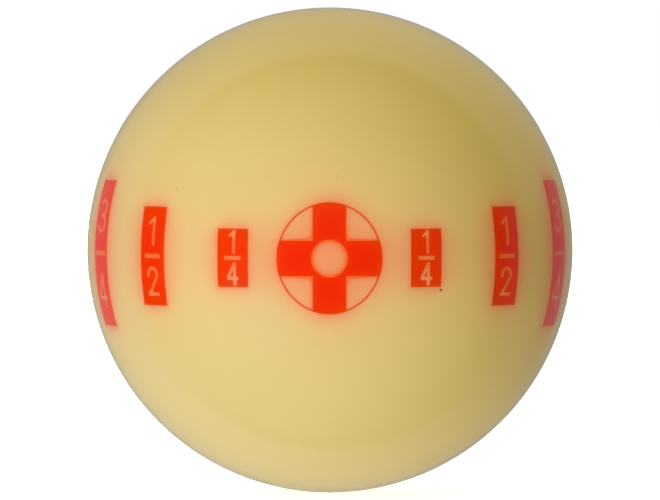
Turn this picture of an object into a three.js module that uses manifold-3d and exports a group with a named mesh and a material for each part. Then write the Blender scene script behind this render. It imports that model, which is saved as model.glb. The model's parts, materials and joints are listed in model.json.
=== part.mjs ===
// Practice cue ball: a cast cream ball with red aiming marks inlaid flush around its equator.
// Millimetres, +Z up, origin at the ball's centre. The target faces -Y and +X is to its right.
import * as THREE from "three";
import { mergeVertices } from "three/addons/utils/BufferGeometryUtils.js";
import Module from "manifold-3d";

// The ball
const ballDiameter = 57.15; // 2 1/4 inches, the standard pool ball
const ballSegments = 64; // facets round the equator; a multiple of 4, so the ball's box is exact

// How every inlay sits in the ball
const inlayDepth = 0.8; // pocket depth below the surface
const seam = 0.04; // clearance between an inlay and its pocket, at the sides and underneath

// The target: a cross in a thin ring, round a cream hub
const targetWidth = 11.9;
const targetHeight = 12.6;
const ringWidth = 0.2;
const uprightArmWidth = 3.75;
const levelArmHeight = 4.0;
const hubWidth = 4.1;
const hubHeight = 4.2;
const targetCurveSteps = 28; // half the number of chords round each ellipse

// The bars, one fraction each: two digits with a line between them
const lineThickness = 0.48;
const oneShift = 0.14; // how far right of the bar's middle the stem of a 1 stands
const oneFlag = { reach: 0.28, top: 0.76, foot: 0.69 }; // shares of a 1's height
const twoHook = 204; // degrees round its bowl at which a 2 starts
const twoNeck = -35; // and at which its bowl runs on into its straight neck
const threeStart = 148; // the same for a 3: where its upper bowl starts
const threeEnd = -168; // and where its lower bowl ends
const threeUpper = { width: 0.92, height: 0.48 }; // the upper bowl's shares of the 3
const threeTongue = 0.17; // how far a 3's waist runs inwards, a share of its width
const fourStem = 0.18; // how far right of its middle a 4's stem stands, a share of its width
const fourBar = 0.23; // how high its level bar stands, a share of its height
const lap = 2; // degrees that a bowl runs into the stroke it joins
const digitCurveSteps = 6; // half the number of chords round each bowl of a 2 or a 3
const fractions = {
  quarter: {
    longitude: 22.5, // degrees round from the target
    width: 3.75,
    height: 6.6,
    digitGap: 0.5, // from the bar's middle to each digit
    endMargin: 0.2, // from each digit to the bar's end
    lineMargin: 0.85, // from the line to the bar's side
    slimness: 0.56, // digit width over digit height
    stroke: 0.38,
    digits: ["one", "four"],
  },
  half: {
    longitude: 45,
    width: 3.85,
    height: 11.3,
    digitGap: 1.2,
    endMargin: 1.1,
    lineMargin: 0.7,
    slimness: 0.54,
    stroke: 0.4,
    digits: ["one", "two"],
  },
  three_quarter: {
    longitude: 68.5,
    width: 4.15,
    height: 16.9,
    digitGap: 2.35,
    endMargin: 2.15,
    lineMargin: 0.42,
    slimness: 0.63,
    stroke: 0.44,
    digits: ["three", "four"],
  },
};

const creamResin = { color: 0xe9c687, roughness: 0.12 };
const redResin = { color: 0xe93205, roughness: 0.15 };

const ballRadius = ballDiameter / 2;
const prismStart = 0.5 * ballRadius; // every outline is cut by a prism from here, deep in the ball,
const prismEnd = 1.05 * ballRadius; // to here, just outside it
const degree = Math.PI / 180;

const wasm = await Module();
wasm.setup();

// ---- solids -------------------------------------------------------------------------------

function solidFrom(geometry) {
  geometry.deleteAttribute("normal");
  geometry.deleteAttribute("uv");
  const merged = mergeVertices(geometry, 1e-4);
  const mesh = new wasm.Mesh({
    numProp: 3,
    vertProperties: merged.attributes.position.array,
    triVerts: new Uint32Array(merged.index.array),
  });
  return new wasm.Manifold(mesh);
}

// Spheres of one segmentation, poles on Z, so two of them keep the same gap everywhere.
function sphere(radius) {
  const geometry = new THREE.SphereGeometry(radius, ballSegments, ballSegments / 2);
  geometry.rotateX(Math.PI / 2);
  return solidFrom(geometry);
}

// A shape drawn in a mark's own plane, x right and y up, run out through the ball's surface.
function prism(shape, longitude, curveSteps = digitCurveSteps) {
  const geometry = new THREE.ExtrudeGeometry(shape, {
    depth: prismEnd - prismStart,
    bevelEnabled: false,
    curveSegments: curveSteps,
  });
  geometry.rotateX(Math.PI / 2);
  geometry.translate(0, -prismStart, 0);
  geometry.rotateZ(longitude * degree);
  return solidFrom(geometry);
}

// ---- shapes -------------------------------------------------------------------------------
// "grow" moves every edge of a shape outwards by that much, or inwards when it is negative.

function polygon(corners) {
  return new THREE.Shape(corners.map(([x, y]) => new THREE.Vector2(x, y)));
}

function rectangle(left, right, bottom, top, grow) {
  return polygon([
    [left - grow, bottom - grow],
    [right + grow, bottom - grow],
    [right + grow, top + grow],
    [left - grow, top + grow],
  ]);
}

function ellipse(width, height, grow) {
  return new THREE.Shape().absellipse(0, 0, width / 2 + grow, height / 2 + grow, 0, 2 * Math.PI);
}

// A straight pen stroke from one point to another, square at both ends.
function straightStroke([x0, y0], [x1, y1], stroke, grow) {
  const length = Math.hypot(x1 - x0, y1 - y0);
  const alongX = (x1 - x0) / length;
  const alongY = (y1 - y0) / length;
  const half = stroke / 2 + grow;
  return polygon([
    [x0 - alongX * grow + alongY * half, y0 - alongY * grow - alongX * half],
    [x1 + alongX * grow + alongY * half, y1 + alongY * grow - alongX * half],
    [x1 + alongX * grow - alongY * half, y1 + alongY * grow + alongX * half],
    [x0 - alongX * grow - alongY * half, y0 - alongY * grow + alongX * half],
  ]);
}

// A pen stroke clockwise along an ellipse, its angles in degrees, square at both ends.
function curvedStroke([centreX, centreY], [radiusX, radiusY], from, to, stroke, grow) {
  const half = stroke / 2 + grow;
  const start = from * degree + grow / radiusX;
  const end = to * degree - grow / radiusX;
  return new THREE.Shape()
    .absellipse(centreX, centreY, radiusX + half, radiusY + half, start, end, true)
    .absellipse(centreX, centreY, radiusX - half, radiusY - half, end, start, false);
}

// ---- digits -------------------------------------------------------------------------------
// Each stands on y = 0 about x = 0, and returns shapes whose union is the digit.

function one({ height, stroke }, grow) {
  const flagReach = oneFlag.reach * height;
  const flagTop = oneFlag.top * height;
  const flagFoot = oneFlag.foot * height;
  const left = oneShift - stroke / 2;
  const flag = straightStroke(
    [oneShift - flagReach + stroke / 4, (flagTop + flagFoot) / 2],
    [left, height - stroke * 0.8],
    flagTop - flagFoot + stroke * 0.35,
    grow,
  );
  return [rectangle(left, left + stroke, 0, height, grow), flag];
}

function two({ width, height, stroke }, grow) {
  const bowl = (width - stroke) / 2;
  const centreY = height - stroke / 2 - bowl;
  const neckAngle = twoNeck * degree;
  const neck = [bowl * Math.cos(neckAngle), centreY + bowl * Math.sin(neckAngle)];
  const foot = [-width / 2 + 0.62 * stroke, stroke / 2];
  return [
    curvedStroke([0, centreY], [bowl, bowl], twoHook, twoNeck - lap, stroke, grow),
    straightStroke(neck, foot, stroke, grow),
    rectangle(-width / 2, width / 2, 0, stroke, grow),
  ];
}

function three({ width, height, stroke }, grow) {
  const lowerX = (width - stroke) / 2;
  const upperX = threeUpper.width * lowerX;
  const upperY = (threeUpper.height * (height - stroke)) / 2;
  const lowerY = (height - stroke) / 2 - upperY;
  const lowerCentre = [0, stroke / 2 + lowerY];
  const upperCentre = [0, height - stroke / 2 - upperY];
  const waist = stroke / 2 + 2 * lowerY;
  return [
    curvedStroke(upperCentre, [upperX, upperY], threeStart, -90 - lap, stroke, grow),
    curvedStroke(lowerCentre, [lowerX, lowerY], 90 + lap, threeEnd, stroke, grow),
    rectangle(-threeTongue * width, 0, waist - stroke / 2, waist + stroke / 2, grow),
  ];
}

// The edges that the outline of a 4 and the counter inside it share.
function fourEdges({ width, height, stroke }) {
  const stemRight = fourStem * width + stroke / 2;
  const barFoot = fourBar * height;
  const barTop = barFoot + stroke;
  const slope = (stemRight - stroke + width / 2) / (height - barTop); // run over rise of the diagonal
  const slant = Math.hypot(1, slope); // how far level a step square to the diagonal reaches
  return { stemRight, stemLeft: stemRight - stroke, barFoot, barTop, slope, slant };
}

// The 4 with its counter filled in.
function four(size, grow) {
  const { stemRight, stemLeft, barFoot, barTop, slope, slant } = fourEdges(size);
  const { width, height } = size;
  const left = -width / 2;
  return [
    polygon([
      [stemLeft - grow, -grow],
      [stemRight + grow, -grow],
      [stemRight + grow, barFoot - grow],
      [width / 2 + grow, barFoot - grow],
      [width / 2 + grow, barTop + grow],
      [stemRight + grow, barTop + grow],
      [stemRight + grow, height + grow],
      [left + (height + grow - barTop) * slope - grow * slant, height + grow],
      [left - grow, barTop + (grow * (slant - 1)) / slope],
      [left - grow, barFoot - grow],
      [stemLeft - grow, barFoot - grow],
    ]),
  ];
}

// The triangle enclosed by the strokes of a 4.
function fourCounter(size, grow) {
  const { stemLeft, barTop, slope, slant } = fourEdges(size);
  const right = stemLeft + grow;
  const bottom = barTop - grow;
  const left = -size.width / 2 + size.stroke * slant - grow * slant - grow * slope;
  return polygon([
    [left, bottom],
    [right, bottom],
    [right, bottom + (right - left) / slope],
  ]);
}

const digitShapes = { one, two, three, four };

// ---- marks --------------------------------------------------------------------------------

// A digit's size, and how far above the bar's middle it stands: the first is the upper one.
function digitPlace(fraction, index) {
  const height = fraction.height / 2 - fraction.digitGap - fraction.endMargin;
  const lift = index === 0 ? fraction.digitGap : -fraction.digitGap - height;
  return { size: { height, width: height * fraction.slimness, stroke: fraction.stroke }, lift };
}

function raised(shape, lift) {
  return polygon(shape.getPoints(digitCurveSteps).map((p) => [p.x, p.y + lift]));
}

// A red bar with its two digits and its line left out of it.
function barPrism(fraction, longitude, grow) {
  const halfWidth = fraction.width / 2;
  const halfLine = halfWidth - fraction.lineMargin;
  const halfHeight = fraction.height / 2;
  const bar = rectangle(-halfWidth, halfWidth, -halfHeight, halfHeight, grow);
  const left = [rectangle(-halfLine, halfLine, -lineThickness / 2, lineThickness / 2, -grow)];
  fraction.digits.forEach((digit, index) => {
    const { size, lift } = digitPlace(fraction, index);
    left.push(...digitShapes[digit](size, -grow).map((shape) => raised(shape, lift)));
  });
  return left.reduce(
    (solid, shape) => solid.subtract(prism(shape, longitude)),
    prism(bar, longitude),
  );
}

// The red triangle inside a bar's 4.
function counterPrism(fraction, longitude, grow) {
  const { size, lift } = digitPlace(fraction, fraction.digits.indexOf("four"));
  return prism(raised(fourCounter(size, grow), lift), longitude);
}

function targetPrism(longitude, grow) {
  const outline = (width, height, edge) =>
    prism(ellipse(width, height, edge), longitude, targetCurveSteps);
  const rim = outline(targetWidth, targetHeight, grow);
  const inside = outline(targetWidth - 2 * ringWidth, targetHeight - 2 * ringWidth, -grow);
  const hub = outline(hubWidth, hubHeight, -grow);
  const reach = Math.max(targetWidth, targetHeight);
  const arm = (halfWidth, halfHeight) =>
    prism(rectangle(-halfWidth, halfWidth, -halfHeight, halfHeight, grow), longitude);
  const cross = arm(uprightArmWidth / 2, reach).add(arm(reach, levelArmHeight / 2));
  return rim.subtract(inside.subtract(cross)).subtract(hub);
}

// Every inlay by name: a function that gives its prism with the edges moved by "grow".
const inlays = { target_mark: (grow) => targetPrism(0, grow) };
for (const [side, sign] of [["left", -1], ["right", 1]]) {
  for (const [name, fraction] of Object.entries(fractions)) {
    const longitude = sign * fraction.longitude;
    inlays[`${side}_${name}_mark`] = (grow) => barPrism(fraction, longitude, grow);
    if (fraction.digits.includes("four")) {
      inlays[`${side}_${name}_counter`] = (grow) => counterPrism(fraction, longitude, grow);
    }
  }
}

// ---- assembly -----------------------------------------------------------------------------

const root = new THREE.Group();
root.name = "cue_ball";

function addNode(name, solid, look) {
  const { vertProperties, triVerts } = solid.getMesh();
  const geometry = new THREE.BufferGeometry();
  geometry.setAttribute("position", new THREE.BufferAttribute(vertProperties, 3));
  geometry.setIndex(new THREE.BufferAttribute(triVerts, 1));
  const flat = geometry.toNonIndexed();
  flat.computeVertexNormals();
  const node = new THREE.Mesh(flat, new THREE.MeshStandardMaterial(look));
  node.name = name;
  root.add(node);
}

const ball = sphere(ballRadius);
const pocketFloor = sphere(ballRadius - inlayDepth);
const inlayUnderside = sphere(ballRadius - inlayDepth + seam);

let body = ball;
for (const [name, prismOf] of Object.entries(inlays)) {
  body = body.subtract(prismOf(0).subtract(pocketFloor));
  addNode(name, ball.intersect(prismOf(-seam)).subtract(inlayUnderside), redResin);
}
addNode("ball_body", body, creamResin);

export default root;
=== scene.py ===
import json
import math

import bmesh
import bpy
import numpy as np
from mathutils import Matrix, Vector

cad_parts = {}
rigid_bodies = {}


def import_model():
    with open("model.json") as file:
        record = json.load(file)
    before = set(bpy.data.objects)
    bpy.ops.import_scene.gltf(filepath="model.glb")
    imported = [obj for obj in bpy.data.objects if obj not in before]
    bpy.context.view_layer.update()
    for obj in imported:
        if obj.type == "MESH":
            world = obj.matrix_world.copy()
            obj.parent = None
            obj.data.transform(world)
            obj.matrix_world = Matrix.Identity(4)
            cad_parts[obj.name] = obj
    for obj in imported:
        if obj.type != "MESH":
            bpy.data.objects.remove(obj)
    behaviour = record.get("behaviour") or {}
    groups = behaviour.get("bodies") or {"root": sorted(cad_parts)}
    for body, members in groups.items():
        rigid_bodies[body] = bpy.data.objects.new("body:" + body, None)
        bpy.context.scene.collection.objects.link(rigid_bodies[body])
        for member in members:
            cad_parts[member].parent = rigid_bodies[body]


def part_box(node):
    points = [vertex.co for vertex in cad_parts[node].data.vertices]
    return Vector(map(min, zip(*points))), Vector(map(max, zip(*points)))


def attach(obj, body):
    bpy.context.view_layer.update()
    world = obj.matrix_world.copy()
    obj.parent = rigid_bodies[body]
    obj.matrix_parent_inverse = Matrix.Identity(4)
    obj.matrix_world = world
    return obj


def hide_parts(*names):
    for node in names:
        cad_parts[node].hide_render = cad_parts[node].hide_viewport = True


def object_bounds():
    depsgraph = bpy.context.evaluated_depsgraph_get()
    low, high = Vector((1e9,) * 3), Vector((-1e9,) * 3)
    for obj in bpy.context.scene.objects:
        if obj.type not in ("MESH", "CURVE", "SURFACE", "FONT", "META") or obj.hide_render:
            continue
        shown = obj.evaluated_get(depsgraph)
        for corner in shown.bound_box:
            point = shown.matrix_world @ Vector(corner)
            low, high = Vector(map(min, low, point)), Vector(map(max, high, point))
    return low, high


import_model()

# ---- sizes, in millimetres -----------------------------------------------------------------

METRE = 1000.0
cad_low, cad_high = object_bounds()
ball_radius = (cad_high.z - cad_low.z) / 2 * METRE

BALL_CELLS = 112  # cells along each edge of the cube that is swelled into the ball
FLOOR_CELLS = 48  # the same for the pocket floors, which nothing shows
INSIDE_CAD = 1 - 2e-6  # keeps the rounded ball just inside the CAD model's box

INLAY_DEPTH = 0.8
CAD_SEAM = 0.04  # the CAD keeps its inlays this far inside their pockets; here they fill them

# The target: a cross in a thin ring, round a cream hub
RING_WIDTH = 0.2
UPRIGHT_ARM_WIDTH = 3.75
LEVEL_ARM_HEIGHT = 4.0
HUB_WIDTH = 4.1
HUB_HEIGHT = 4.2
TARGET_CURVE_STEPS = 144  # chords round each ellipse

# The bars, one fraction each: two digits with a line between them
LINE_THICKNESS = 0.48
ONE_SHIFT = 0.14  # how far right of the bar's middle the stem of a 1 stands
ONE_FLAG = dict(reach=0.28, top=0.76, foot=0.69)  # shares of a 1's height
# Shares of its stroke: how far in from its tip the flag's middle line starts, how far under the
# top of the stem that line ends, and how much the flag is thickened.
ONE_FLAG_PEN = dict(tip=0.25, drop=0.8, extra=0.35)
TWO_HOOK = 204  # degrees round its bowl at which a 2 starts
TWO_NECK = -35  # and at which its bowl runs on into its straight neck
TWO_FOOT = 0.62  # how far in from its left side the neck ends, a share of its stroke
THREE_START = 148  # degrees round its upper bowl at which a 3 starts
THREE_END = -168  # and round its lower bowl at which it ends
THREE_UPPER = dict(width=0.92, height=0.48)  # the upper bowl's shares of the 3
THREE_TONGUE = 0.17  # how far a 3's waist runs inwards, a share of its width
FOUR_STEM = 0.18  # how far right of its middle a 4's stem stands, a share of its width
FOUR_BAR = 0.23  # how high its level bar stands, a share of its height
LAP = 2  # degrees that a bowl runs into the stroke it joins
DIGIT_CURVE_STEPS = 24  # chords along each bowl of a 2 or a 3
# digit_gap is from the bar's middle to each digit, end_margin from a digit to the bar's end,
# line_margin from the line to the bar's side, and slimness a digit's width over its height.
FRACTIONS = {
    "quarter": dict(
        width=3.75, digits=("one", "four"), digit_gap=0.5, end_margin=0.2, line_margin=0.85,
        slimness=0.56, stroke=0.38,
    ),
    "half": dict(
        width=3.85, digits=("one", "two"), digit_gap=1.2, end_margin=1.1, line_margin=0.7,
        slimness=0.54, stroke=0.4,
    ),
    "three_quarter": dict(
        width=4.15, digits=("three", "four"), digit_gap=2.35, end_margin=2.15, line_margin=0.42,
        slimness=0.63, stroke=0.44,
    ),
}

PRISM_START = 0.5 * ball_radius  # every outline is run from here, deep in the ball,
PRISM_END = 1.05 * ball_radius  # to here, just outside it
SURFACE_TOLERANCE = 0.01  # a corner this near the ball's radius is on its surface
SURFACE_FACING = 0.5  # a face of such corners is too, if it faces out by more than this cosine
MERGE_DECIMALS = 6  # corners that agree to this many decimals are one
WELD = 1e-4  # edges shorter than this, and faces thinner, are dissolved

# ---- looks ---------------------------------------------------------------------------------

GLOW_GRID = 0.1  # millimetres between the points that the glow is worked out at
GRID_END = 0.001  # how far short of the grid's last point it may be read, in grid steps
GLOW_REACH_EAST = 60  # half the grid, along the equator
GLOW_REACH_NORTH = 30  # and across it
GLOW_PARTS = ((0.25, 0.3), (2.5, 0.7))  # how far light diffuses in the resin, and in what shares
MARK_REACH = 8  # no mark is wider than this to either side

# Linear colours by the glow, which paints in the light scattered between the resins: cream far from
# the marks, painted orange towards them up to inside their digits, and red from the edges of the
# marks, painted paler there, up to their middles.
CREAM_STOPS = [
    (0.0, (0.82, 0.615, 0.222)),
    (0.07, (0.865, 0.56, 0.212)),
    (0.12, (0.88, 0.47, 0.185)),
    (0.16, (0.90, 0.41, 0.16)),
    (0.22, (0.93, 0.36, 0.15)),
    (0.29, (0.94, 0.315, 0.135)),
    (0.40, (0.97, 0.16, 0.035)),
]
RED_STOPS = [
    (0.28, (0.84, 0.10, 0.012)),
    (0.38, (0.86, 0.055, 0.003)),
    (0.44, (0.88, 0.045, 0.001)),
    (0.50, (0.95, 0.039, 0.0005)),
    (0.66, (0.95, 0.019, 0.0003)),
]
CREAM_CLOUD = 0.012  # how much the clouds lighten and darken the colour
RED_CLOUD = 0.02
CLOUD_SIZE = 14
CLOUD_RANGE = (0.3, 0.7)  # the noise values at the clouds' darkest and lightest
# Dark specks in the cream: degrees east of the target, millimetres above the equator, width, and
# how much of the light each takes away.
SPECKS = [(26.3, -3.65, 0.32, 0.75), (-39.0, 7.6, 0.3, 0.2), (1.9, 9.2, 0.3, 0.15)]
SPECK_EDGES = (0.6, 1.4)  # shares of its radius over which a speck fades out
GRAIN_PITCH = 6  # fine inclusions, scattered through the resin about this far apart
GRAIN_WIDTH = 0.2
GRAIN_EDGES = (0.5, 1)  # shares of its radius over which an inclusion fades out
GRAIN_STRENGTH = 0.12
HAIRLINE_SIZE = 0.7  # fine polishing marks, drawn out along the height
HAIRLINE_STRETCH = (1, 1, 0.12)
HAIRLINE_BUMP = 0.02
HAIRLINE_DEPTH = 1e-5  # metres
HANDLING_SIZE = 9  # patches of wear from hands and cloth
WEAR_RANGE = (0.7, 1.3)  # the sums of both noises where the polish is best and worst
ROUGHNESS = (0.05, 0.1)  # at the best and the worst
RESIN_IOR = 1.6

# What lights the ball. Soft lights have an azimuth and elevation in degrees, how tight they are,
# and a linear colour.
AMBIENT = (0.1, 0.14, 0.04)
SOFT_LIGHTS = [
    (-36, -32, 32, (11.2, 12, 16.5)),  # key
    (-12, 49, 4, (1.7, 1.5, 1.2)),  # top
    (185, 4, 2, (1.5, 1.45, 1.5)),  # behind
    (92, -64, 2, (0.5, 0.35, 0)),  # warm bounce from below
    (-150, -12, 32, (3, 2.8, 3)),  # left rim
    (150, 0, 32, (3, 2.6, 2.6)),  # right rim
]
# What the polish mirrors: a dark front, and past CARD_EDGE white cards on the left, above, below
# and behind.
REFLECTION_FRONT = 0.02
CARDS = [((-1, 0, 0), 0.08), ((0, 0, 1), 0.34), ((0, 0, -1), 0.34), ((0, 1, 0), 0.3)]
CARD_EDGE = 0.296  # how far towards the back the cards start, as a sine
CARD_EDGE_SOFTNESS = 0.04
SIDE_CARD = (0.1, 0.25, 0.4)  # one more card on the right, which fades in towards the back
SIDE_CARD_EDGES = (-0.1, 0.35)  # where its fading starts and ends, as sines
SIDE_CARD_TIGHTNESS = 8
SOFTBOX = 3  # how bright the one lamp is that the polish mirrors, straight behind the ball
SOFTBOX_EDGES = (5, 3.5)  # degrees from its middle at which it fades in and is full

WHITE = (1, 1, 1)
FLOOR_SIZE = 5000  # half its width
FLOOR_SHADE = (0.9, 0.9, 0.9)
FLOOR_GLOW = 0.75  # its own light, which keeps it white

CAMERA_DISTANCE = 20  # ball radii
CAMERA_AZIMUTH = 0.12  # degrees
CAMERA_ELEVATION = 1.93
CAMERA_CLIP = (0.01, 100)  # metres
SENSOR = 36
BALL_SHARE = 0.7352  # how much of the picture's width the ball fills

# ---- outlines ------------------------------------------------------------------------------
# Lists of (x, z) corners, anticlockwise, x right and z up, in the plane of one mark.


def rectangle(left, right, bottom, top):
    return [(left, bottom), (right, bottom), (right, top), (left, top)]


def ellipse(width, height):
    angles = np.arange(TARGET_CURVE_STEPS) * 2 * math.pi / TARGET_CURVE_STEPS
    return [(width / 2 * math.cos(a), height / 2 * math.sin(a)) for a in angles]


def straight_stroke(start, end, stroke):
    length = math.dist(start, end)
    across_x = (end[1] - start[1]) / length * stroke / 2
    across_z = -(end[0] - start[0]) / length * stroke / 2
    return [
        (start[0] + across_x, start[1] + across_z),
        (end[0] + across_x, end[1] + across_z),
        (end[0] - across_x, end[1] - across_z),
        (start[0] - across_x, start[1] - across_z),
    ]


def curved_stroke(centre, radii, start, end, stroke):
    """A pen stroke clockwise along an ellipse, its angles in degrees, square at both ends."""
    angles = np.radians(np.linspace(start, end, DIGIT_CURVE_STEPS + 1))

    def edge(offset, along):
        return [
            (centre[0] + (radii[0] + offset) * math.cos(a),
             centre[1] + (radii[1] + offset) * math.sin(a))
            for a in along
        ]

    return edge(-stroke / 2, angles) + edge(stroke / 2, angles[::-1])


def one(width, height, stroke):
    reach, top, foot = (ONE_FLAG[part] * height for part in ("reach", "top", "foot"))
    left = ONE_SHIFT - stroke / 2
    flag = straight_stroke(
        (ONE_SHIFT - reach + ONE_FLAG_PEN["tip"] * stroke, (top + foot) / 2),
        (left, height - ONE_FLAG_PEN["drop"] * stroke),
        top - foot + ONE_FLAG_PEN["extra"] * stroke,
    )
    return [rectangle(left, left + stroke, 0, height), flag]


def two(width, height, stroke):
    bowl = (width - stroke) / 2
    centre_z = height - stroke / 2 - bowl
    neck_angle = math.radians(TWO_NECK)
    neck = (bowl * math.cos(neck_angle), centre_z + bowl * math.sin(neck_angle))
    return [
        curved_stroke((0, centre_z), (bowl, bowl), TWO_HOOK, TWO_NECK - LAP, stroke),
        straight_stroke(neck, (-width / 2 + TWO_FOOT * stroke, stroke / 2), stroke),
        rectangle(-width / 2, width / 2, 0, stroke),
    ]


def three(width, height, stroke):
    lower_x = (width - stroke) / 2
    upper_x = THREE_UPPER["width"] * lower_x
    upper_z = THREE_UPPER["height"] * (height - stroke) / 2
    lower_z = (height - stroke) / 2 - upper_z
    waist = stroke / 2 + 2 * lower_z
    upper_centre = (0, height - stroke / 2 - upper_z)
    lower_centre = (0, stroke / 2 + lower_z)
    return [
        curved_stroke(upper_centre, (upper_x, upper_z), THREE_START, -90 - LAP, stroke),
        curved_stroke(lower_centre, (lower_x, lower_z), 90 + LAP, THREE_END, stroke),
        rectangle(-THREE_TONGUE * width, 0, waist - stroke / 2, waist + stroke / 2),
    ]


def four_edges(width, height, stroke):
    stem_right = FOUR_STEM * width + stroke / 2
    stem_left = stem_right - stroke
    bar_foot = FOUR_BAR * height
    bar_top = bar_foot + stroke
    slope = (stem_left + width / 2) / (height - bar_top)
    return stem_left, stem_right, bar_foot, bar_top, slope


def four(width, height, stroke):
    """The 4 with its counter filled in."""
    stem_left, stem_right, bar_foot, bar_top, slope = four_edges(width, height, stroke)
    return [[
        (stem_left, 0),
        (stem_right, 0),
        (stem_right, bar_foot),
        (width / 2, bar_foot),
        (width / 2, bar_top),
        (stem_right, bar_top),
        (stem_right, height),
        (-width / 2 + (height - bar_top) * slope, height),
        (-width / 2, bar_top),
        (-width / 2, bar_foot),
        (stem_left, bar_foot),
    ]]


def four_counter(width, height, stroke):
    stem_left, _, _, bar_top, slope = four_edges(width, height, stroke)
    left = -width / 2 + stroke * math.hypot(1, slope)
    return [(left, bar_top), (stem_left, bar_top), (stem_left, bar_top + (stem_left - left) / slope)]


DIGITS = {"one": one, "two": two, "three": three, "four": four}


def raised(outline, lift):
    return [(x, z + lift) for x, z in outline]


# ---- marks ---------------------------------------------------------------------------------
# An area is the outline of some red, and a list of outlines that are left out of it.


def longitude_of(node):
    """Degrees east of the target, to the nearest half degree."""
    low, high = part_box(node)
    middle = (low + high) / 2
    return round(2 * math.degrees(math.atan2(middle.x, -middle.y))) / 2


def height_of(node):
    low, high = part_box(node)
    return (high.z - low.z) * METRE + 2 * CAD_SEAM


def target_area(width, height):
    """A ring and a cross round a hub: the four cream quadrants and the hub are left out."""
    half_up, half_level = UPRIGHT_ARM_WIDTH / 2, LEVEL_ARM_HEIGHT / 2
    radius_x, radius_z = width / 2 - RING_WIDTH, height / 2 - RING_WIDTH
    first, last = math.asin(half_level / radius_z), math.acos(half_up / radius_x)
    angles = np.linspace(first, last, TARGET_CURVE_STEPS // 4 + 1)
    left_out = [ellipse(HUB_WIDTH, HUB_HEIGHT)]
    for side_x in (-1, 1):
        for side_z in (-1, 1):
            arc = [(radius_x * math.cos(a), radius_z * math.sin(a)) for a in angles]
            quadrant = [(side_x * x, side_z * z) for x, z in [(half_up, half_level), *arc]]
            left_out.append(quadrant if side_x == side_z else quadrant[::-1])
    return ellipse(width, height), left_out


def digit_places(fraction, height):
    """Each digit's name, its (width, height, stroke), and how far up the bar it stands."""
    tall = height / 2 - fraction["digit_gap"] - fraction["end_margin"]
    size = (tall * fraction["slimness"], tall, fraction["stroke"])
    lifts = (fraction["digit_gap"], -fraction["digit_gap"] - tall)
    return [(name, size, lift) for name, lift in zip(fraction["digits"], lifts)]


def bar_area(fraction, height):
    half_width = fraction["width"] / 2
    half_line = half_width - fraction["line_margin"]
    left_out = [rectangle(-half_line, half_line, -LINE_THICKNESS / 2, LINE_THICKNESS / 2)]
    for name, size, lift in digit_places(fraction, height):
        left_out += [raised(outline, lift) for outline in DIGITS[name](*size)]
    return rectangle(-half_width, half_width, -height / 2, height / 2), left_out


def counter_area(fraction, height):
    """The red triangle inside a bar's 4."""
    size, lift = next(place[1:] for place in digit_places(fraction, height) if place[0] == "four")
    return raised(four_counter(*size), lift), []


def all_marks():
    """Each red inlay's CAD node, with its longitude and its area."""
    low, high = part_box("target_mark")
    target_width = (high.x - low.x) * METRE + 2 * CAD_SEAM
    marks = {"target_mark": (0, target_area(target_width, height_of("target_mark")))}
    for side in ("left", "right"):
        for name, fraction in FRACTIONS.items():
            bar = f"{side}_{name}_mark"
            longitude, height = longitude_of(bar), height_of(bar)
            marks[bar] = (longitude, bar_area(fraction, height))
            if "four" in fraction["digits"]:
                marks[f"{side}_{name}_counter"] = (longitude, counter_area(fraction, height))
    return marks


# ---- meshes --------------------------------------------------------------------------------


def mesh_from(points, faces):
    mesh = bpy.data.meshes.new("shape")
    mesh.from_pydata(points, [], faces)
    return mesh


def sphere(radius, cells):
    """A cube's six grids swelled into a ball, with its poles of X, Y and Z at grid corners."""
    steps = np.tan(np.linspace(-math.pi / 4, math.pi / 4, cells + 1))
    across, up = np.meshgrid(steps, steps, indexing="ij")
    corner = np.arange((cells + 1) ** 2).reshape(cells + 1, cells + 1)
    a, b, c, d = corner[:-1, :-1], corner[1:, :-1], corner[1:, 1:], corner[:-1, 1:]
    triangles = np.concatenate(
        [np.stack(t, -1).reshape(-1, 3) for t in ((a, b, c), (a, c, d))]
    )
    points, faces = [], []
    for axis in range(3):
        for sign in (-1, 1):
            grid = np.stack([np.full_like(across, sign), across, up], -1).reshape(-1, 3)
            facing_out = triangles if sign > 0 else triangles[:, ::-1]
            faces.append(facing_out + len(points) * corner.size)
            points.append(np.roll(grid, axis, axis=-1))
    points = np.concatenate(points)
    points *= radius / np.linalg.norm(points, axis=1, keepdims=True)
    _, kept, merged = np.unique(
        np.round(points, MERGE_DECIMALS), axis=0, return_index=True, return_inverse=True
    )
    faces = merged.reshape(-1)[np.concatenate(faces)]
    return mesh_from(points[kept].tolist(), faces.tolist())


def prism(outline, longitude):
    """An outline run out through the ball's surface at a longitude."""
    angle = math.radians(longitude)
    right = Vector((math.cos(angle), math.sin(angle), 0))
    out = Vector((math.sin(angle), -math.cos(angle), 0))
    points = [
        right * x + out * depth + Vector((0, 0, z))
        for depth in (PRISM_START, PRISM_END)
        for x, z in outline
    ]
    count = len(outline)
    sides = [(i, (i + 1) % count, count + (i + 1) % count, count + i) for i in range(count)]
    ends = [tuple(range(count))[::-1], tuple(range(count, 2 * count))]
    return mesh_from(points, sides + ends)


def cut(mesh, operation, tools):
    """A new mesh: the first one with each tool's solid taken off it or kept of it, in turn."""
    scene_objects = bpy.context.scene.collection.objects
    objects = [bpy.data.objects.new("solid", m) for m in (mesh, *tools)]
    for thing in objects:
        scene_objects.link(thing)
    for tool in objects[1:]:
        modifier = objects[0].modifiers.new("cut", "BOOLEAN")
        modifier.operation = operation
        modifier.solver = "MANIFOLD"
        modifier.object = tool
    graph = bpy.context.evaluated_depsgraph_get()
    result = bpy.data.meshes.new_from_object(objects[0].evaluated_get(graph))
    for thing in objects:
        bpy.data.objects.remove(thing)
    return result


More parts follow.
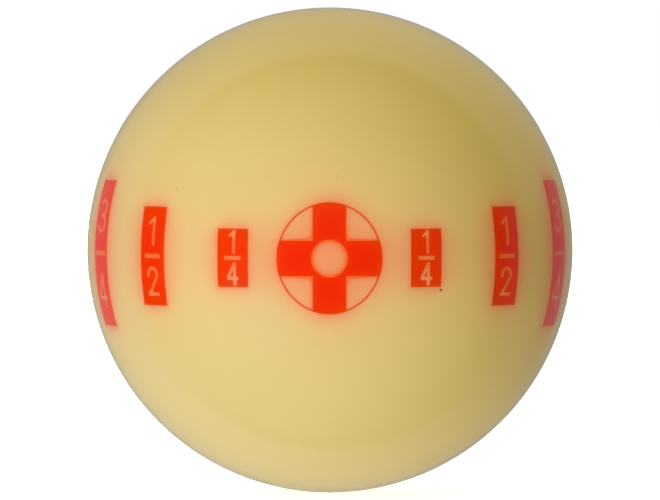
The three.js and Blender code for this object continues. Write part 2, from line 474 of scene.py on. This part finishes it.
def triangulate(mesh):
    """Cuts every face into triangles, and dissolves what is finer than WELD."""
    shape = bmesh.new()
    shape.from_mesh(mesh)
    bmesh.ops.triangulate(shape, faces=shape.faces)
    bmesh.ops.dissolve_degenerate(shape, dist=WELD, edges=shape.edges)
    bmesh.ops.triangulate(shape, faces=shape.faces)
    shape.to_mesh(mesh)
    shape.free()


def smooth_ball_normals(mesh):
    """Normals straight out from the centre on the ball's surface, and flat ones elsewhere."""
    points = np.empty(len(mesh.vertices) * 3)
    mesh.vertices.foreach_get("co", points)
    points = points.reshape(-1, 3)
    corners = np.empty(len(mesh.loops), int)
    mesh.loops.foreach_get("vertex_index", corners)
    flat = np.empty(len(mesh.polygons) * 3)
    mesh.polygons.foreach_get("normal", flat)
    flat = np.repeat(flat.reshape(-1, 3), 3, axis=0)
    distance = np.linalg.norm(points, axis=1, keepdims=True)
    outward = (points / distance)[corners]
    at_surface = np.abs(distance[corners, 0] - ball_radius) < SURFACE_TOLERANCE
    whole_face = at_surface.reshape(-1, 3).all(1).repeat(3)
    facing_out = (outward * flat).sum(1) > SURFACE_FACING
    normals = np.where((whole_face & facing_out)[:, None], outward, flat)
    mesh.polygons.foreach_set("use_smooth", np.ones(len(mesh.polygons), bool))
    mesh.normals_split_custom_set(normals.tolist())


# ---- painted glow --------------------------------------------------------------------------
# Red light spreads sideways through the cream resin, so the cream round and inside each mark glows
# orange, and the red is a little paler along its edges. This light is painted into the base colours
# as a
# painted glow: the share of red around a point, weighted by how far light diffuses, on a grid of
# longitude and latitude.


def inside(x, z, outline):
    """True where a point lies inside an outline."""
    found = np.zeros(x.shape, bool)
    for (x0, z0), (x1, z1) in zip(outline, outline[1:] + outline[:1]):
        if z0 != z1:
            crosses = (z0 > z) != (z1 > z)
            found ^= crosses & (x < (x1 - x0) * (z - z0) / (z1 - z0) + x0)
    return found


class PaintedGlow:
    """The share of red around every point of the ball's surface."""

    def __init__(self, marks):
        self.east = np.arange(-GLOW_REACH_EAST, GLOW_REACH_EAST, GLOW_GRID)
        self.north = np.arange(-GLOW_REACH_NORTH, GLOW_REACH_NORTH, GLOW_GRID)
        red = np.zeros((len(self.north), len(self.east)))
        for longitude, (outer, left_out) in marks.values():
            angle = math.radians(longitude)
            near = np.abs(self.east - angle * ball_radius) < MARK_REACH
            turn = self.east[near] / ball_radius - angle
            tilt = self.north[:, None] / ball_radius
            x = ball_radius * np.sin(turn) * np.cos(tilt)
            z = ball_radius * np.sin(tilt) + 0 * x
            covered = inside(x, z, outer)
            for outline in left_out:
                covered &= ~inside(x, z, outline)
            red[:, near] = np.maximum(red[:, near], covered)
        turns_east = np.fft.fftfreq(len(self.east), GLOW_GRID) * 2 * math.pi
        turns_north = np.fft.fftfreq(len(self.north), GLOW_GRID) * 2 * math.pi
        wave = np.hypot(turns_east[None, :], turns_north[:, None])
        spread = sum(share / (1 + (length * wave) ** 2) for length, share in GLOW_PARTS)
        self.share = np.maximum(0, np.real(np.fft.ifft2(np.fft.fft2(red) * spread)))

    def at(self, points):
        """The share of red around each point, read off the grid between its nearest values."""
        unit = points / np.linalg.norm(points, axis=1, keepdims=True)
        east = np.arctan2(unit[:, 0], -unit[:, 1]) * ball_radius
        north = np.arcsin(np.clip(unit[:, 2], -1, 1)) * ball_radius
        column = np.clip((east - self.east[0]) / GLOW_GRID, 0, len(self.east) - 1 - GRID_END)
        row = np.clip((north - self.north[0]) / GLOW_GRID, 0, len(self.north) - 1 - GRID_END)
        i, j = column.astype(int), row.astype(int)
        a, b = column - i, row - j
        lower = self.share[j, i] * (1 - a) + self.share[j, i + 1] * a
        upper = self.share[j + 1, i] * (1 - a) + self.share[j + 1, i + 1] * a
        return lower * (1 - b) + upper * b


# Keeps the painted glow on each corner, for the colour ramps that paint in the scattered light.
def store_painted_glow(mesh, painted_glow):
    points = np.empty(len(mesh.vertices) * 3)
    mesh.vertices.foreach_get("co", points)
    values = mesh.attributes.new("painted_glow", "FLOAT", "POINT")
    values.data.foreach_set("value", painted_glow.at(points.reshape(-1, 3)).astype(np.float32))


# ---- materials -----------------------------------------------------------------------------


MIX_COLOURS = (6, 7)  # a Mix node's two colour inputs, which share their names with others


class Nodes:
    """Adds nodes to a tree: each call returns one of the new node's outputs, mostly the first."""

    def __init__(self, tree):
        self.tree = tree
        tree.nodes.clear()

    def add(self, kind, inputs=(), output=0, **settings):
        node = self.tree.nodes.new(kind)
        for name, value in settings.items():
            setattr(node, name, value)
        for name, value in dict(inputs).items():
            if isinstance(value, bpy.types.NodeSocket):
                self.tree.links.new(value, node.inputs[name])
            else:
                node.inputs[name].default_value = value
        return node.outputs[output] if len(node.outputs) else node

    def math(self, operation, *values):
        return self.add("ShaderNodeMath", enumerate(values), operation=operation)

    def vector(self, operation, *values, output=0):
        return self.add("ShaderNodeVectorMath", enumerate(values), output, operation=operation)

    def scaled(self, vector, factor):
        return self.add("ShaderNodeVectorMath", {0: vector, "Scale": factor}, operation="SCALE")

    def facing(self, direction, way):
        """1 where a direction is a fixed way, and 0 at right angles to it and beyond."""
        cosine = self.vector("DOT_PRODUCT", direction, way, output="Value")
        return self.math("MAXIMUM", cosine, 0)

    def either(self, factor, first, second):
        """The first colour where a factor is 0, and the second where it is 1."""
        inputs = {"Factor": factor, MIX_COLOURS[0]: first, MIX_COLOURS[1]: second}
        return self.add("ShaderNodeMix", inputs, output=2, data_type="RGBA")

    def between(self, value, low, high, to_low, to_high, smooth=False):
        return self.add(
            "ShaderNodeMapRange",
            {"Value": value, "From Min": low, "From Max": high, "To Min": to_low, "To Max": to_high},
            interpolation_type="SMOOTHSTEP" if smooth else "LINEAR",
        )

    def noise(self, place, size, detail):
        """Noise with features of that size in millimetres."""
        return self.add(
            "ShaderNodeTexNoise", {"Vector": place, "Scale": METRE / size, "Detail": detail}
        )

    def ramp(self, value, stops):
        node = self.tree.nodes.new("ShaderNodeValToRGB")
        self.tree.links.new(value, node.inputs[0])
        elements = node.color_ramp.elements
        while len(elements) < len(stops):
            elements.new(1)
        for element, (position, colour) in zip(elements, stops):
            element.position = position
            element.color = (*colour, 1)
        return node.outputs[0]


def resin(name, stops, cloud, specks):
    """Cast, polished resin, coloured by the painted glow of scattered light, with faint clouds,
    inclusions and hairlines.
    """
    material = bpy.data.materials.new(name)
    material.use_nodes = True
    nodes = Nodes(material.node_tree)
    place = nodes.add("ShaderNodeTexCoord", output="Object")
    painted_glow = nodes.add("ShaderNodeAttribute", output="Fac", attribute_name="painted_glow")
    # Painted light: the base colour follows the glow, painting orange into the cream round the marks
    # and paler red along their edges, for light scattered through the resin.
    colour = nodes.ramp(painted_glow, stops)
    clouds = nodes.noise(place, CLOUD_SIZE, detail=3)
    colour = nodes.scaled(colour, nodes.between(clouds, *CLOUD_RANGE, 1 - cloud, 1 + cloud))
    for longitude, north, width, strength in specks:
        angle = math.radians(longitude)
        level = math.sqrt(ball_radius**2 - north**2)
        centre = Vector((level * math.sin(angle), -level * math.cos(angle), north)) / METRE
        distance = nodes.vector("DISTANCE", place, centre, output="Value")
        edges = [edge * width / 2 / METRE for edge in SPECK_EDGES]
        shade = nodes.between(distance, *edges, 1 - strength, 1, smooth=True)
        colour = nodes.scaled(colour, shade)
    grains = nodes.add(
        "ShaderNodeTexVoronoi", {"Vector": place, "Scale": METRE / GRAIN_PITCH}, feature="F1"
    )
    edges = [edge * GRAIN_WIDTH / 2 / GRAIN_PITCH for edge in GRAIN_EDGES]
    grain = nodes.between(grains, *edges, 1 - GRAIN_STRENGTH, 1, smooth=True)
    colour = nodes.scaled(colour, grain)
    stretched = nodes.vector("MULTIPLY", place, HAIRLINE_STRETCH)
    hairlines = nodes.noise(stretched, HAIRLINE_SIZE, detail=4)
    handling = nodes.noise(place, HANDLING_SIZE, detail=2)
    worn = nodes.math("ADD", hairlines, handling)
    roughness = nodes.between(worn, *WEAR_RANGE, *ROUGHNESS)
    bump = nodes.add(
        "ShaderNodeBump",
        {"Height": hairlines, "Strength": HAIRLINE_BUMP, "Distance": HAIRLINE_DEPTH},
    )
    shader = nodes.add(
        "ShaderNodeBsdfPrincipled",
        {"Base Color": colour, "Roughness": roughness, "IOR": RESIN_IOR, "Normal": bump},
    )
    nodes.add("ShaderNodeOutputMaterial", {"Surface": shader})
    return material


# ---- the build -----------------------------------------------------------------------------


def add_piece(mesh, node, painted_glow, material):
    triangulate(mesh)
    smooth_ball_normals(mesh)
    store_painted_glow(mesh, painted_glow)
    mesh.transform(Matrix.Scale(INSIDE_CAD / METRE, 4))
    mesh.materials.clear()
    mesh.materials.append(material)
    piece = bpy.data.objects.new("visual_" + node, mesh)
    mesh.name = piece.name
    bpy.context.scene.collection.objects.link(piece)
    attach(piece, "root")
    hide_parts(node)


def add_ball():
    marks = all_marks()
    painted_glow = PaintedGlow(marks)
    cream = resin("cream_resin", CREAM_STOPS, CREAM_CLOUD, SPECKS)
    red = resin("red_resin", RED_STOPS, RED_CLOUD, [])
    ball = sphere(ball_radius, BALL_CELLS)
    pocket_floor = sphere(ball_radius - INLAY_DEPTH, FLOOR_CELLS)
    pockets = []
    for node, (longitude, (outer, left_out)) in marks.items():
        holes = [prism(outline, longitude) for outline in left_out]
        pocket = cut(prism(outer, longitude), "DIFFERENCE", [*holes, pocket_floor])
        pockets.append(pocket)
        add_piece(cut(pocket, "INTERSECT", [ball]), node, painted_glow, red)
    body = cut(ball, "DIFFERENCE", pockets)
    add_piece(body, "ball_body", painted_glow, cream)


def toward(azimuth, elevation):
    """The unit vector to a place round the ball: azimuth 0 is -Y and 90 is +X, in degrees."""
    a, e = math.radians(azimuth), math.radians(elevation)
    return Vector((math.sin(a) * math.cos(e), -math.cos(a) * math.cos(e), math.sin(e)))


def mirrored(nodes, direction):
    """What the polish mirrors: a dark front, and the cards, the side card and the softbox."""
    cards = 0
    for way, strength in CARDS:
        card = nodes.math("MULTIPLY", nodes.facing(direction, way), strength)
        cards = nodes.math("ADD", card, cards)
    depth = nodes.add("ShaderNodeSeparateXYZ", {0: direction}, output="Y")
    card_edges = (CARD_EDGE - CARD_EDGE_SOFTNESS, CARD_EDGE + CARD_EDGE_SOFTNESS)
    behind = nodes.between(depth, *card_edges, 0, 1, smooth=True)
    front = nodes.math("MULTIPLY", nodes.math("SUBTRACT", 1, behind), REFLECTION_FRONT)
    reflected = nodes.math("ADD", nodes.math("MULTIPLY", behind, cards), front)

    side = nodes.math("POWER", nodes.facing(direction, (1, 0, 0)), SIDE_CARD_TIGHTNESS)
    fade = nodes.between(depth, *SIDE_CARD_EDGES, 0, 1, smooth=True)
    side_card = nodes.scaled(SIDE_CARD, nodes.math("MULTIPLY", side, fade))
    reflected = nodes.vector("ADD", reflected, side_card)

    from_middle = nodes.facing(direction, -toward(CAMERA_AZIMUTH, CAMERA_ELEVATION))
    edges = [math.cos(math.radians(angle)) for angle in SOFTBOX_EDGES]
    softbox = nodes.between(from_middle, *edges, 0, SOFTBOX, smooth=True)
    return nodes.vector("ADD", reflected, nodes.scaled(WHITE, softbox))


def add_light():
    """Soft studio light from all round as a world, with a white background for the camera."""
    world = bpy.data.worlds.new("studio")
    bpy.context.scene.world = world
    world.use_nodes = True
    # Only rays sent out by the ball reach it, as they tell a mirrored view from soft light.
    world.cycles.sampling_method = "NONE"
    nodes = Nodes(world.node_tree)
    direction = nodes.add("ShaderNodeTexCoord", output="Generated")
    light = AMBIENT
    for azimuth, elevation, tightness, colour in SOFT_LIGHTS:
        facing = nodes.facing(direction, toward(azimuth, elevation))
        amount = nodes.math("POWER", facing, tightness)
        light = nodes.vector("ADD", light, nodes.scaled(colour, amount))
    path = nodes.tree.nodes.new("ShaderNodeLightPath").outputs
    seen = nodes.either(path["Is Glossy Ray"], light, mirrored(nodes, direction))
    seen = nodes.either(path["Is Camera Ray"], seen, (*WHITE, 1))
    background = nodes.add("ShaderNodeBackground", {"Color": seen})
    nodes.add("ShaderNodeOutputWorld", {"Surface": background})


def add_floor():
    """A white floor that shows a faint contact shadow and lets light through from below."""
    size = FLOOR_SIZE / METRE
    corners = [(x * size, y * size, 0) for x, y in ((-1, -1), (1, -1), (1, 1), (-1, 1))]
    mesh = mesh_from(corners, [(0, 1, 2, 3)])
    material = bpy.data.materials.new("white_floor")
    material.use_nodes = True
    nodes = Nodes(material.node_tree)
    shader = nodes.add(
        "ShaderNodeBsdfPrincipled",
        {"Base Color": (*FLOOR_SHADE, 1), "Roughness": 1, "Specular IOR Level": 0,
         "Emission Color": (*WHITE, 1), "Emission Strength": FLOOR_GLOW},
    )
    nodes.add("ShaderNodeOutputMaterial", {"Surface": shader})
    mesh.materials.append(material)
    floor = bpy.data.objects.new("floor", mesh)
    floor.location.z = cad_low.z
    for ray in ("diffuse", "glossy", "transmission", "shadow"):
        setattr(floor, "visible_" + ray, False)
    bpy.context.scene.collection.objects.link(floor)


def add_camera():
    camera = bpy.data.cameras.new("camera")
    camera.sensor_width = SENSOR
    # The lens at which a sphere seen from this far fills BALL_SHARE of the picture's width
    camera.lens = SENSOR * BALL_SHARE / 2 * math.sqrt(CAMERA_DISTANCE**2 - 1)
    camera.clip_start, camera.clip_end = CAMERA_CLIP
    holder = bpy.data.objects.new("camera", camera)
    back = toward(CAMERA_AZIMUTH, CAMERA_ELEVATION)
    holder.location = back * CAMERA_DISTANCE * ball_radius / METRE
    holder.rotation_euler = back.to_track_quat("Z", "Y").to_euler()
    bpy.context.scene.collection.objects.link(holder)
    bpy.context.scene.camera = holder


add_ball()
add_light()
add_floor()
add_camera()
bpy.context.scene.view_settings.view_transform = "Standard"

bpy.context.view_layer.update()
